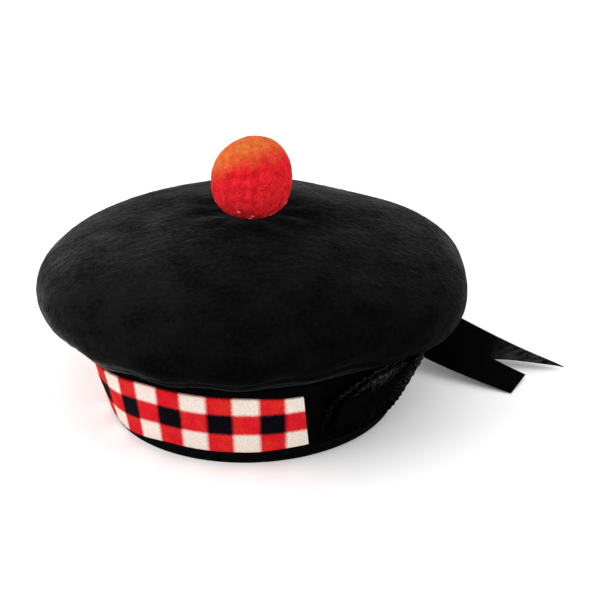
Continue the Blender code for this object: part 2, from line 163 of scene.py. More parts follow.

# Painted light and shade on the felt, as shares that scale its colour and its sheen. There is
# painted shade where the felt is gathered under the toorie, painted light on the front shoulder and
# painted shade on the underside, darkest over the cockade, with painted highlights along the rolled
# edge at the front and along the welt's crest.
TOORIE_PAINTED_SHADE = 0.45
TOORIE_SHADE_RADIUS = 0.030
TOORIE_SHADE_SPREAD = 0.030
SIDE_PAINTED_LIGHT = 0.70
FRONT_PAINTED_LIGHT = 1.10
FRONT_ANGLE = 5.0
FRONT_SPREAD = 35.0
UNDERSIDE_PAINTED_SHADE = 0.20
UNDERSIDE_SHADE_TURN = 22.0
UNDERSIDE_SHADE_SPREAD = 55.0
COCKADE_PAINTED_SHADE = 0.05
SHADED_ANGLE = 108.0
SHADED_SPREAD = 22.0
ROLLED_PAINTED_HIGHLIGHT = 1.50
ROLLED_ANGLE = 14.0
ROLLED_ANGLE_SPREAD = 14.0
ROLLED_TURN = -38.0
ROLLED_SPREAD = 17.0
WELT_PAINTED_HIGHLIGHT = 0.38
WELT_ANGLE = 42.0
WELT_ANGLE_SPREAD = 28.0
BRIGHTEST_PAINTED_LIGHT = 1.80

# Bands: how finely they are built, their folds, and the pitch of all stitches and ribs
HEADBAND_COLUMNS = 420
HEADBAND_ROWS = 24
BINDING_COLUMNS = 540
BINDING_ROUNDING = 0.0003
BINDING_SHARP_ANGLE = 50.0
CLOTH_SHARP_ANGLE = 60.0
LOOP_SHARE = 0.3
HEADBAND_STITCH = 0.0017
DICING_STITCH = 0.0015
BINDING_RIB = 0.0011
RIBBON_RIB = 0.0010
SILK_RIB = 0.0012

# Dicing: how long its checks are, and where their middle row begins and ends above its lower
# edge. At one angle a border between two of them stands upright, some checks before the last one.
# Away from there the borders lean more and more, as the cloth is straight and the band flares, up
# to an angle from which it's stretched to fit.
CHECK_LENGTH = 0.0159
MIDDLE_ROW = (0.0152, 0.0317)
CHECK_BORDER_ANGLE = 57.0
CHECKS_TO_LAST = 2
STRETCH_ANGLE = -5.0
DICING_COLUMNS = 460
DICING_ROWS = 44
DICING_CORNER = 0.0005
DICING_SWELL = 0.0002
DICING_SWELL_SIZE = 0.0180
BORDER_WOBBLE = 0.075
BORDER_SOFTNESS = 0.24

# Toorie: its cut ends of yarn, from the core out. reach is a share of the ball's, radius is the
# yarn's, lean a share of the whole lean, and depth how bright it is painted down there, as painted
# shade between the ends. The ball is worn a little flat on one side, and its red is painted orange,
# as a painted highlight, where it looks toward the bright way that the light comes from.
TOORIE_TOP_POWER = 2.15
TOORIE_FOOT_POWER = 2.5
TOORIE_WORN_WAY = (-0.592, -0.390, 0.705)
TOORIE_WORN_DEPTH = 0.10
TOORIE_WORN_POWER = 3
TOORIE_BRIGHT_WAY = (-0.509, -0.072, 0.853)
TOORIE_HIGHLIGHT_END = 0.56
HIGHLIGHT_DRIFT = 0.16
HIGHLIGHT_DRIFT_SIZE = 0.30
YARN_ENDS = 12000
YARN_SIDES = 3
YARN_RINGS = (
    {"reach": 0.920, "radius": 0.00064, "lean": 0.0, "depth": 0.5},
    {"reach": 0.988, "radius": 0.00072, "lean": 0.8, "depth": 0.9},
    {"reach": 1.000, "radius": 0.00050, "lean": 1.0, "depth": 1.0},
)
YARN_LUMP = 0.014
YARN_LUMP_SIZE = 0.24
YARN_LEAN = 0.07
YARN_SCATTER = 0.008
WAY_SCATTER = 0.010
LOCK_SIZE = (0.13, 0.13, 0.42)
LOCK_RISE = 0.010
LOCKED_BELOW = 0.60

# Some ends just above the crown are pale and stand out. Shade goes from 0, dark, to 1. It differs
# by chance, by lump and by lock, and is painted brighter below, as painted light on the ball's
# lower side.
PALE_SHARE = 0.004
PALE_HEIGHT = -0.45
PALE_SPREAD = 0.25
PALE_RISE = 0.010
MIDDLE_SHADE = 0.4
CHANCE_SHADE = 0.2
LUMP_SHADE = 0.4
LOCK_SHADE = 0.7
LOWER_PAINTED_LIGHT = 0.55
PAINTED_LIGHT_BELOW = 0.55
CORE_SHADE = 0.3
# How bright the core is painted, as painted shade under the ends
CORE_DEPTH = 0.85

# Cockade: how its silk is gathered, from a flat middle out to its edge
RUFFLE_ROWS = 34
GATHER_COLUMNS = 16
GATHER_WIDTH = 0.0150
GATHER_START = 0.30
GATHER_DEPTH_SHARE = 1.125
GATHER_CLOSING = 1.3
BACK_GATHERS = 41
FRONT_GATHERS = 33
SILK_THICKNESS = 0.0006
LIFT_SHARE = 0.8

# How unevenly: how fast that changes round a layer, and what it does to the waves and the edge
STRAY_RATE = 3.0
STRAY_PHASE = 2.5
UNEVEN_RATE = 5.0
UNEVEN_DEPTH = 0.6
FRILL_SHARE = 0.5
FRILL_WAVE = 0.4

# Where its gathered edge gets painted highlights, as shares of its height and width and as a turn
# that is left out
HIGHLIGHT_RISE = 0.5
HIGHLIGHT_SIDE = 0.7
UNLIT_TURN = 58.0
UNLIT_SPREAD = 26.0

# Tab: how finely it is built, how square it is across and through, and how thin at its folds
TAB_ROWS = 36
TAB_COLUMNS = 72
TAB_SWELL = 0.0006
TAB_SQUARENESS = 0.35
TAB_ROUNDNESS = 0.7
TAB_FOLD_POWER = 12
TAB_FOLD_SHARE = 0.25

# Ribbon: how finely it is built, its thin middle and woven edges, and where its far end gets a
# painted highlight, as shares of its length
RIBBON_ROWS = 150
RIBBON_STRIPS = 14
RIBBON_SAMPLES = 200
RIBBON_THIN = 0.0005
WOVEN_EDGE_SWELL = 0.35
WOVEN_EDGE_SPREAD = 0.08
SHINE_START = 0.72
SHINE_RISE = 0.15
SHINE_END = 1.02
SHINE_FALL = 0.12

FLOOR_HALF = 4.0


def smooth_step(value):
    value = np.clip(value, 0.0, 1.0)
    return value * value * (3.0 - 2.0 * value)


def hill(angles, middle, spread):
    """A smooth rise to 1 at a middle angle, which dies away on both sides."""
    away = (angles - middle + 180.0) % 360.0 - 180.0
    return np.exp(-(away / spread) ** 2)


def unit(vectors):
    """Vectors made one long, or the way up where they have no length."""
    size = np.linalg.norm(vectors, axis=-1, keepdims=True)
    return np.where(size > SHORTEST, vectors / np.maximum(size, SHORTEST), (0.0, 0.0, 1.0))


def oval_points(half_length, half_width, angle, height, out=0.0):
    """Points of ovals with their long axis along Y, moved straight out of them by out."""
    turn = np.radians(angle)
    side = np.sin(turn) / half_width
    back = -np.cos(turn) / half_length
    size = np.hypot(side, back)
    x = half_width * np.sin(turn) + side / size * out
    y = -half_length * np.cos(turn) + back / size * out
    return np.stack(np.broadcast_arrays(x, y, height), axis=-1)


def band_points(angle, height, out):
    """Points at a height above the rim, out from the headband's outer face."""
    flare = BAND_FLARE * np.asarray(height)
    return oval_points(HEAD_LENGTH / 2 + flare, HEAD_WIDTH / 2 + flare, angle, height,
                       BAND_WALL + out)


def band_speed(angle, height):
    """Length along the headband's outer face for each degree."""
    step = 0.5
    ahead = band_points(angle + step, height, 0.0)
    behind = band_points(angle - step, height, 0.0)
    return float(np.linalg.norm(ahead - behind)) / (2 * step)


def band_radius(height):
    """The mean radius of the headband's outer face at a height."""
    return (HEAD_LENGTH + HEAD_WIDTH) / 4 + BAND_WALL + BAND_FLARE * height


def binding_height(angle):
    """The height of the binding's upper edge, where the dicing stands."""
    from_dip = np.abs((np.asarray(angle) - DIP_ANGLE + 180.0) % 360.0 - 180.0)
    risen = smooth_step((from_dip - DIP_FLAT) / (DIP_SPREAD - DIP_FLAT))
    return DIP_HEIGHT + (BINDING_HEIGHT - DIP_HEIGHT) * risen


def dicing_end(height):
    """The angle of the dicing's end at a height."""
    middle = band_radius(BINDING_HEIGHT + GAP + DICING_HEIGHT / 2)
    return DICING_SQUARE + (DICING_END - DICING_SQUARE) * middle / band_radius(height)


def rim_sway(angle, kind):
    """Reads a row of the sway table at any angles, along a smooth closed curve."""
    values = np.array(RIM_SWAY[kind])
    place = (np.asarray(angle) % 360.0) / 360.0 * len(values)
    first = np.floor(place).astype(int)
    share = place - first
    before, here, after, beyond = (values[(first + i) % len(values)] for i in (-1, 0, 1, 2))
    slope_here = (after - before) / 2
    slope_after = (beyond - here) / 2
    rise = after - here
    bend = 3 * rise - 2 * slope_here - slope_after
    twist = slope_here + slope_after - 2 * rise
    return here + share * (slope_here + share * (bend + share * twist))


def dome_points(angle, turn):
    """The crown's top. turn is 90 at its middle and 0 at the rim."""
    reach = rim_sway(angle, "reach") * CROWN_WIDTH / 2
    share = np.cos(np.radians(turn)).clip(0.0) ** DOME_SPREAD
    half_length = (CROWN_LENGTH / 2 + reach) * share
    half_width = (CROWN_WIDTH / 2 + reach) * share
    height = BAND_HEIGHT + UNDER_HEIGHT + DOME_HEIGHT * np.sin(np.radians(turn)) ** DOME_RISE
    height = height + rim_sway(angle, "lift") * UNDER_HEIGHT * share ** 2
    from_middle = (half_length + half_width) / 2
    height -= DIMPLE_DEPTH * np.exp(-(from_middle / DIMPLE_RADIUS) ** 2)
    pucker = 0.5 - 0.5 * np.cos(PUCKER_COUNT * np.radians(angle))
    height -= PUCKER_DEPTH * pucker * np.exp(-((from_middle - PUCKER_RADIUS) / PUCKER_SPREAD) ** 2)
    half_length = np.maximum(half_length, SMALLEST_OVAL)
    half_width = np.maximum(half_width, SMALLEST_OVAL)
    points = oval_points(half_length, half_width, angle, height)
    points[..., 1] -= PEAK_FORWARD * (1.0 - share)
    return points


def under_points(angle, turn):
    """The crown's underside. turn is 0 at the rim and -90 at the mouth, on the headband."""
    lift = rim_sway(angle, "lift") * UNDER_HEIGHT
    reach = rim_sway(angle, "reach") * CROWN_WIDTH / 2
    share = np.cos(np.radians(turn)).clip(0.0) ** UNDER_SPREAD
    mouth_length = HEAD_LENGTH / 2 + BAND_FLARE * BAND_HEIGHT
    mouth_width = HEAD_WIDTH / 2 + BAND_FLARE * BAND_HEIGHT
    half_length = mouth_length + (CROWN_LENGTH / 2 + reach - mouth_length) * share
    half_width = mouth_width + (CROWN_WIDTH / 2 + reach - mouth_width) * share
    drop = (UNDER_HEIGHT - GAP) * np.sin(np.radians(-turn)) ** UNDER_DROP
    height = BAND_HEIGHT + UNDER_HEIGHT - drop + lift * share
    gather = 0.5 - 0.5 * np.cos(GATHER_COUNT * np.radians(angle))
    height = height + GATHER_DEPTH * gather * np.sin(np.radians(-2.0 * turn)) ** 2
    return oval_points(half_length, half_width, angle, height)


def even_turns(section, start, end, spacing):
    """Turns between two that lie evenly along a section of the crown."""
    turns = np.linspace(start, end, SECTION_SAMPLES)
    steps = np.linalg.norm(np.diff(section(0.0, turns), axis=0), axis=1)
    lengths = np.concatenate(([0.0], np.cumsum(steps)))
    count = round(lengths[-1] / spacing)
    return np.interp(np.linspace(0.0, lengths[-1], count + 1), lengths, turns)


def noise_at(points, size, seed):
    """Smooth noise of about -1 to 1 at each point, with features of a size."""
    shift = Vector([seed * step for step in NOISE_STEPS])
    flat = points.reshape(-1, 3) / size
    values = [noise.noise(Vector(point) + shift) for point in flat.tolist()]
    return np.array(values).reshape(points.shape[:-1])


def grid_faces(rows, columns, loop_rows=False, loop_columns=False):
    """Faces of a grid of vertices numbered row by row, which may close on itself either way. A
    tube whose rows are open gets caps."""
    row = np.arange(rows if loop_rows else rows - 1)[:, None]
    column = np.arange(columns if loop_columns else columns - 1)[None, :]
    next_row = (row + 1) % rows
    next_column = (column + 1) % columns
    corners = (row * columns + column, row * columns + next_column,
               next_row * columns + next_column, next_row * columns + column)
    faces = np.stack(np.broadcast_arrays(*corners), axis=-1).reshape(-1, 4).tolist()
    if loop_columns and not loop_rows:
        faces.append(list(range(columns))[::-1])
        faces.append(list(range((rows - 1) * columns, rows * columns)))
    return faces


def add_object(name, data):
    made = bpy.data.objects.new(name, data)
    bpy.context.scene.collection.objects.link(made)
    return made


def turn_out(mesh, merge=False):
    """Points a mesh's faces out, and may merge vertices that lie in one place, as at a pole."""
    work = bmesh.new()
    work.from_mesh(mesh)
    if merge:
        bmesh.ops.remove_doubles(work, verts=work.verts, dist=MERGE_DISTANCE)
    bmesh.ops.recalc_face_normals(work, faces=work.faces)
    work.to_mesh(mesh)
    work.free()


def add_mesh(name, points, faces, finish):
    """Adds one closed mesh as a smooth object."""
    mesh = bpy.data.meshes.new(name)
    mesh.from_pydata(np.asarray(points).reshape(-1, 3).tolist(), [], faces)
    turn_out(mesh)
    mesh.materials.append(finish)
    mesh.shade_smooth()
    return add_object(name, mesh)


def add_grid(name, points, finish, **loops):
    """Adds a grid of points, rows by columns, as a closed mesh."""
    return add_mesh(name, points, grid_faces(*points.shape[:2], **loops), finish)


def both_sides(front, back):
    """A sheet's front, and then its back from the last column to the first."""
    return np.concatenate([front, back[:, ::-1]], axis=1)


def mark(piece, name, values):
    """Keeps a number for each vertex, which a material can read."""
    attribute = piece.data.attributes.new(name, "FLOAT", "POINT")
    attribute.data.foreach_set("value", np.asarray(values, np.float32).ravel())


def place(piece, node, slot):
    """The piece stands for a CAD node, which it hides, and rides with the root body. Its slot is
    not used.
    """
    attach(piece, "root")
    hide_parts(node)


class Finish:
    """A material, with short calls for the nodes that it takes."""

    def __init__(self, name, colour, **values):
        self.material = bpy.data.materials.new(name)
        self.material.use_nodes = True
        self.tree = self.material.node_tree
        self.shader = self.tree.nodes["Principled BSDF"]
        self.shader.inputs["Base Color"].default_value = (*colour, 1.0)
        self.material.diffuse_color = (*colour, 1.0)
        for socket, value in values.items():
            self.shader.inputs[socket.replace("_", " ")].default_value = value
        self.place = self.node("ShaderNodeTexCoord").outputs["Object"]

    def node(self, kind, inputs=None, **settings):
        made = self.tree.nodes.new(kind)
        for key, value in settings.items():
            setattr(made, key, value)
        for key, value in (inputs or {}).items():
            self.feed(made.inputs[key], value)
        return made

    def feed(self, socket, value):
        if isinstance(value, bpy.types.NodeSocket):
            self.tree.links.new(value, socket)
        else:
            socket.default_value = value

    def math(self, operation, first, second=0.0, third=0.0):
        inputs = {0: first, 1: second, 2: third}
        return self.node("ShaderNodeMath", inputs, operation=operation).outputs[0]

    def noise(self, size, detail=2.0, roughness=0.5, stretch=None):
        """Noise with features of a size, stretched along each axis."""
        where = self.place
        if stretch:
            where = self.node("ShaderNodeMapping", {"Vector": where, "Scale": stretch}).outputs[0]
        inputs = {"Vector": where, "Scale": 1.0 / size, "Detail": detail, "Roughness": roughness}
        return self.node("ShaderNodeTexNoise", inputs).outputs["Fac"]

    def patches(self, size, low, high, **shape):
        """Noise of a size, from 0 where it is low to 1 where it is high."""
        return self.span(self.noise(size, **shape), low, high)

    def attribute(self, name):
        return self.node("ShaderNodeAttribute", attribute_name=name).outputs["Fac"]

    def span(self, value, low, high, to_low=0.0, to_high=1.0):
        """Maps a span of values onto another, and holds it at the ends."""
        inputs = {"Value": value, "From Min": low, "From Max": high, "To Min": to_low,
                  "To Max": to_high}
        return self.node("ShaderNodeMapRange", inputs).outputs[0]

    def blend(self, share, first, second):
        """Mixes two colours, each a socket or three numbers."""
        mixer = self.node("ShaderNodeMix", {0: share}, data_type="RGBA")
        for index, colour in ((6, first), (7, second)):
            socket = isinstance(colour, bpy.types.NodeSocket)
            self.feed(mixer.inputs[index], colour if socket else (*colour, 1.0))
        return mixer.outputs[2]

    def colour(self, value):
        self.feed(self.shader.inputs["Base Color"], value)

    def sheen(self, share, colour):
        """Sheen up to a colour, by a share. Its weight stays one number."""
        self.feed(self.shader.inputs["Sheen Tint"], self.blend(share, (0.0, 0.0, 0.0), colour))

    def relief(self, *layers):
        """Bump from pairs of a height, 0 to 1, and the depth in metres that it stands for."""
        normal = None
        for height, depth in layers:
            inputs = {"Height": height, "Distance": depth, "Strength": 1.0}
            if normal:
                inputs["Normal"] = normal
            normal = self.node("ShaderNodeBump", inputs).outputs[0]
        self.feed(self.shader.inputs["Normal"], normal)

    def ribs(self, pitch, depth):
        """Bump of ribs across a ribbon, with a fine grain."""
        turns = self.math("MULTIPLY", self.attribute("along"), 2.0 * math.pi / pitch)
        ribs = self.math("MULTIPLY_ADD", self.math("SINE", turns), 0.5, 0.5)
        self.relief((self.noise(0.0004), 0.0001), (ribs, depth))


def felt_finish():
    """Black milled wool: a short matted nap that greys where it is seen along its surface."""
    felt = Finish("crown_felt", (0.003, 0.003, 0.0033), Roughness=0.95, Sheen_Weight=0.58,
                  Sheen_Roughness=0.30, Sheen_Tint=(0.22, 0.22, 0.226, 1.0),
                  Specular_IOR_Level=0.008)
    patches = felt.patches(0.026, 0.36, 0.66, detail=3.0, stretch=(1.0, 1.0, 2.2))
    tufts = felt.patches(0.0026, 0.38, 0.66, detail=3.0, roughness=0.6)
    worn = felt.math("MULTIPLY_ADD", patches, 0.55, felt.math("MULTIPLY", tufts, 0.45))
    # The crown's mark of painted light and shade scales the colour and the sheen tint, together
    # with the worn patches.
    light = felt.math("MULTIPLY", felt.attribute("painted_light"), felt.span(worn, 0.0, 1.0, 0.22, 1.0))
    felt.colour(felt.blend(light, (0.0005, 0.0005, 0.0006), (0.0046, 0.0046, 0.0049)))
    felt.sheen(felt.span(light, 0.0, BRIGHTEST_PAINTED_LIGHT), (0.715, 0.715, 0.735))
    fibres = felt.noise(0.0008, detail=4.0, roughness=0.7)
    felt.relief((fibres, 0.00010), (tufts, 0.00014))
    return felt.material


def knit_bump(finish, along, up, pitch):
    """Stitches: columns of small slanted loops, as heights from 0 to 1."""
    column = finish.math("MULTIPLY", along, 1.0 / pitch)
    lean = finish.math("ABSOLUTE", finish.math("SUBTRACT", finish.math("FRACT", column), 0.5))
    row = finish.math("MULTIPLY_ADD", up, 1.0 / pitch, lean)
    loops = finish.math("SINE", finish.math("MULTIPLY", row, 2.0 * math.pi))
    ridges = finish.math("ABSOLUTE", finish.math("SINE", finish.math("MULTIPLY", column, math.pi)))
    raised = finish.math("MULTIPLY_ADD", loops, LOOP_SHARE, 1.0 - LOOP_SHARE)
    return finish.math("MULTIPLY", ridges, raised)


def headband_finish():
    """Plain black knitting."""
    knit = Finish("headband_wool", (0.002, 0.002, 0.0024), Roughness=0.95, Sheen_Weight=0.01,
                  Sheen_Roughness=0.3, Sheen_Tint=(0.6, 0.6, 0.65, 1.0), Specular_IOR_Level=0.0)
    shade = knit.noise(0.0060, detail=3.0)
    knit.colour(knit.blend(shade, (0.0008, 0.0008, 0.0012), (0.0030, 0.0030, 0.0036)))
    stitches = knit_bump(knit, knit.attribute("along"), knit.attribute("up"), HEADBAND_STITCH)
    knit.relief((knit.noise(0.0006, detail=3.0), 0.0002), (stitches, 0.0005))
    return knit.material


def dicing_finish():
    """Checks of knitted wool. Columns and rows are counted in checks, from borders between them."""
    wool = Finish("diced_wool", (0.6, 0.05, 0.06), Roughness=0.9, Sheen_Weight=0.01,
                  Sheen_Roughness=0.5, Specular_IOR_Level=0.01)
    wobble = wool.math("SUBTRACT", wool.noise(0.0022), 0.5)
    wobble = wool.math("MULTIPLY", wobble, BORDER_WOBBLE)

    def odd_cells(name):
        """1 in odd cells and 0 in even ones, with a soft border between them."""
        count = wool.math("ADD", wool.attribute(name), wobble)
        wave = wool.math("SINE", wool.math("MULTIPLY", count, math.pi))
        return wool.span(wave, BORDER_SOFTNESS, -BORDER_SOFTNESS)

    yarn = wool.patches(0.0011, 0.3, 0.7, detail=3.0, roughness=0.6)
    warmth = wool.patches(0.011, 0.4, 0.65)
    bright_red = wool.blend(warmth, (0.64, 0.009, 0.020), (0.70, 0.036, 0.018))
    red = wool.blend(yarn, (0.48, 0.006, 0.013), bright_red)
    cream = wool.blend(yarn, (0.64, 0.55, 0.48), (0.81, 0.72, 0.64))
    black = wool.blend(yarn, (0.0008, 0.0006, 0.0018), (0.0024, 0.0019, 0.0046))
    odd_column = odd_cells("column")
    outer_row = wool.blend(odd_column, cream, red)
    middle_row = wool.blend(odd_column, red, black)
    wool.colour(wool.blend(odd_cells("row"), outer_row, middle_row))
    stitches = knit_bump(wool, wool.attribute("along"), wool.attribute("up"), DICING_STITCH)
    wool.relief((wool.noise(0.0005, detail=3.0), 0.0001), (stitches, 0.0002))
    return wool.material


def binding_finish():
    """Black tape, whose ribs run across it."""
    tape = Finish("binding_tape", (0.0026, 0.0026, 0.0032), Roughness=0.7, Sheen_Weight=0.01,
                  Sheen_Roughness=0.4, Sheen_Tint=(0.6, 0.6, 0.64, 1.0),
                  Specular_IOR_Level=0.003)
    shade = tape.noise(0.0050, detail=3.0)
    tape.colour(tape.blend(shade, (0.00156, 0.00156, 0.00192), (0.0026, 0.0026, 0.0032)))
    tape.ribs(BINDING_RIB, 0.00022)
    return tape.material


def ribbon_finish():
    """Black grosgrain, whose ribs run across it, with a dull patchy painted highlight near its far
    end.
    """
    tape = Finish("tail_ribbon", (0.0008, 0.0008, 0.0010), Roughness=0.5, Sheen_Weight=0.30,
                  Sheen_Roughness=0.3, Sheen_Tint=(0.04, 0.04, 0.039, 1.0),
                  Specular_IOR_Level=0.006)
    patches = tape.patches(0.0060, 0.36, 0.62, detail=3.0, roughness=0.6, stretch=(1.6, 0.5, 1.0))
    # Painted highlight: patches near the far end are painted grey, with a sheen tint to match.
    painted_shine = tape.math("MULTIPLY", patches, tape.attribute("painted_shine"))
    tape.colour(tape.blend(painted_shine, (0.0007, 0.0007, 0.0009), (0.0300, 0.0290, 0.0270)))
    tape.sheen(painted_shine, (0.8, 0.8, 0.78))
    tape.ribs(RIBBON_RIB, 0.0002)
    return tape.material


def silk_finish():
    """Black ribbed silk, with painted highlights on its creases where its upper edge is gathered.
    """
    silk = Finish("cockade_silk", (0.0008, 0.0008, 0.0010), Roughness=0.6, Sheen_Weight=0.55,
                  Sheen_Roughness=0.3, Sheen_Tint=(0.04, 0.04, 0.041, 1.0),
                  Specular_IOR_Level=0.002)
    creases = silk.patches(0.0019, 0.46, 0.68, detail=3.0, roughness=0.6)
    # Painted highlights: creased specks along the edge mark are painted grey, with a sheen tint to
    # match.
    worn = silk.math("MULTIPLY", creases, silk.attribute("edge"))
    silk.colour(silk.blend(worn, (0.0006, 0.0006, 0.0008), (0.0600, 0.0600, 0.0610)))
    silk.sheen(worn, (0.8, 0.8, 0.82))
    silk.ribs(SILK_RIB, 0.0002)
    return silk.material


def toorie_finish():
    """Scarlet yarn, painted orange on top as a painted highlight, with a few pale ends."""
    wool = Finish("toorie_wool", (0.75, 0.03, 0.03), Roughness=0.95, Sheen_Weight=0.02,
                  Sheen_Roughness=0.5, Sheen_Tint=(1.0, 0.45, 0.35, 1.0), Specular_IOR_Level=0.03)
    mottle = wool.patches(0.0042, 0.36, 0.64, detail=3.0, roughness=0.6)
    mottle = wool.math("MULTIPLY", mottle, 0.5)
    shade = wool.math("MULTIPLY_ADD", wool.attribute("shade"), 0.5, mottle)
    red = wool.blend(shade, (0.36, 0.0035, 0.007), (0.80, 0.020, 0.031))
    orange = wool.blend(shade, (0.46, 0.062, 0.010), (0.64, 0.170, 0.044))
    # Painted shade: yarn deep between the ends, and the core, is painted darker by its depth.
    dark = wool.blend(wool.attribute("painted_highlight"), (0.40, 0.004, 0.008), (0.50, 0.060, 0.013))
    # Painted highlight: the ends turn orange where they look toward the bright way.
    ends = wool.blend(wool.attribute("painted_highlight"), red, orange)
    ends = wool.blend(wool.attribute("pale"), ends, (0.85, 0.30, 0.30))
    wool.colour(wool.blend(wool.attribute("depth"), dark, ends))
    wool.relief((wool.noise(0.0005, detail=3.0), 0.0001))
    return wool.material


def make_crown():
    """The felt shell, from the middle of the top down to the mouth and back up its lining."""
    angles = np.linspace(0.0, 360.0, FELT_COLUMNS, endpoint=False)[:, None]
    dome_turns = even_turns(dome_points, 90.0, 0.0, FELT_SPACING)
    under_turns = even_turns(under_points, 0.0, -90.0, FELT_SPACING)[1:]
    skin = [dome_points(angles, dome_turns), under_points(angles, under_turns)]
    skin = np.concatenate(skin, axis=1)
    turns = np.concatenate([dome_turns, under_turns])
    welt = WELT_HEIGHT * hill(turns, WELT_TURN, WELT_SPREAD)
    groove = GROOVE_DEPTH * hill(turns, GROOVE_TURN, GROOVE_SPREAD)
    fade = smooth_step((turns + 90.0) / FELT_WAVE_FADE)
    waves = FELT_WAVE * noise_at(skin, FELT_WAVE_SIZE, seed=1) * fade
    skin = skin + skin_normals(skin) * (waves + welt - groove)[..., None]
    inner = [*range(len(turns) - 1, 0, -LINING_STRIDE), 0]
    lining = (skin - skin_normals(skin) * FELT_WALL)[:, inner]
    lining[:, -1] = lining[:, -1].mean(axis=0)
    skin[:, 0] = skin[:, 0].mean(axis=0)
    points = np.concatenate([skin, lining], axis=1)
    piece = add_grid("felt_crown", points, felt_finish(), loop_rows=True)
    # The lining gets the underside's painted shade.
    lining_painted_shade = np.full((FELT_COLUMNS, len(inner)), UNDERSIDE_PAINTED_SHADE)
    mark(piece, "painted_light", np.concatenate([painted_light_at(skin, angles, turns), lining_painted_shade], axis=1))
    turn_out(piece.data, merge=True)
    roughen(piece, FELT_TUFT, FELT_TUFT_SIZE, seed=3)
    place(piece, "crown", "crown_felt")


def painted_light_at(skin, angles, turns):
    """Painted light and shade at each point of the crown's outside, as a share of full light."""
    from_middle = np.hypot(skin[..., 0], skin[..., 1])
    outward = smooth_step((from_middle - TOORIE_SHADE_RADIUS) / TOORIE_SHADE_SPREAD)
    around = SIDE_PAINTED_LIGHT + FRONT_PAINTED_LIGHT * hill(angles, FRONT_ANGLE, FRONT_SPREAD)
    underside_shade = smooth_step((UNDERSIDE_SHADE_TURN - turns) / UNDERSIDE_SHADE_SPREAD)
    painted_light = (TOORIE_PAINTED_SHADE + (1.0 - TOORIE_PAINTED_SHADE) * outward) * around
    rolled = ROLLED_PAINTED_HIGHLIGHT * hill(angles, ROLLED_ANGLE, ROLLED_ANGLE_SPREAD)
    rolled = rolled * hill(turns, ROLLED_TURN, ROLLED_SPREAD)
    crest = WELT_PAINTED_HIGHLIGHT * hill(angles, WELT_ANGLE, WELT_ANGLE_SPREAD)
    crest = crest * hill(turns, WELT_TURN, WELT_SPREAD)
    shaded = hill(angles, SHADED_ANGLE, SHADED_SPREAD)
    under = UNDERSIDE_PAINTED_SHADE + (COCKADE_PAINTED_SHADE - UNDERSIDE_PAINTED_SHADE) * shaded
    return painted_light + (under - painted_light) * underside_shade + rolled + crest


def skin_normals(points):
    """The ways out of a skin whose rows go round the bonnet and whose columns go down it."""
    around = np.roll(points, -1, axis=0) - np.roll(points, 1, axis=0)
    down = np.gradient(points, axis=1)
    return unit(np.cross(down, around))


def roughen(piece, depth, size, seed):
    """Moves each vertex along its normal by smooth noise, with finer noise on it."""
    mesh = piece.data
    count = len(mesh.vertices)
    points = np.empty(count * 3)
    mesh.vertices.foreach_get("co", points)
    points = points.reshape(-1, 3)
    normals = np.empty(count * 3, np.float32)
    mesh.vertex_normals.foreach_get("vector", normals)
    finer = noise_at(points, size / FINER_TUFT_RATIO, seed + 1)
    shift = depth * (noise_at(points, size, seed) + FINER_TUFT_SHARE * finer)
    points += normals.reshape(-1, 3) * shift[:, None]
    mesh.vertices.foreach_set("co", points.ravel())
    mesh.update()


def band_grid(angles, section):
    """Points of a section, as pairs of a height and a way out, at each angle. Each may vary with
    the angle."""
    columns = [band_points(angles, np.broadcast_to(height, angles.shape), out)
               for height, out in section]
    return np.stack(columns, axis=1)


def lengths_along(points):
    """How far each point lies along its column, from the first row."""
    steps = np.linalg.norm(np.diff(points, axis=0), axis=-1)
    return np.concatenate([np.zeros((1, points.shape[1])), np.cumsum(steps, axis=0)])


def make_headband():
    """The knitted band that carries the dicing."""
    angles = np.linspace(0.0, 360.0, HEADBAND_COLUMNS, endpoint=False)
    foot = BINDING_THICKNESS + GAP
    heights = np.linspace(foot, BAND_HEIGHT, HEADBAND_ROWS)
    section = [(height, 0.0) for height in heights]
    section += [(height, -BAND_WALL) for height in heights[::-1]]
    points = band_grid(angles, section)
    finish = headband_finish()
    piece = add_grid("knitted_headband", points, finish, loop_rows=True, loop_columns=True)
    mark(piece, "along", lengths_along(points))
    mark(piece, "up", points[..., 2])
    place(piece, "headband", "headband_wool")


def make_binding():
    """The tape folded over the lower edge, a little rounded at its folds."""
    angles = np.linspace(0.0, 360.0, BINDING_COLUMNS, endpoint=False)
    high = binding_height(angles)
    near = GAP
    far = GAP + BINDING_THICKNESS
    corner = BINDING_ROUNDING
    outside = [(0.0, far - corner), (corner, far)]
    outside += [(high * share, far) for share in (0.25, 0.5, 0.75)]
    outside += [(high - corner, far), (high, far - corner), (high, near)]
    inner = -BAND_WALL - GAP
    inmost = inner - BINDING_THICKNESS
    inside = [(BINDING_THICKNESS, near), (BINDING_THICKNESS, inner), (BINDING_HEIGHT, inner),
              (BINDING_HEIGHT, inmost + corner), (BINDING_HEIGHT - corner, inmost),
              (corner, inmost), (0.0, inmost + corner)]
    points = band_grid(angles, outside + inside)
    piece = add_grid("binding_fold", points, binding_finish(), loop_rows=True, loop_columns=True)
    mark(piece, "along", lengths_along(points))
    piece.data.set_sharp_from_angle(angle=math.radians(BINDING_SHARP_ANGLE))
    place(piece, "binding", "binding_tape")


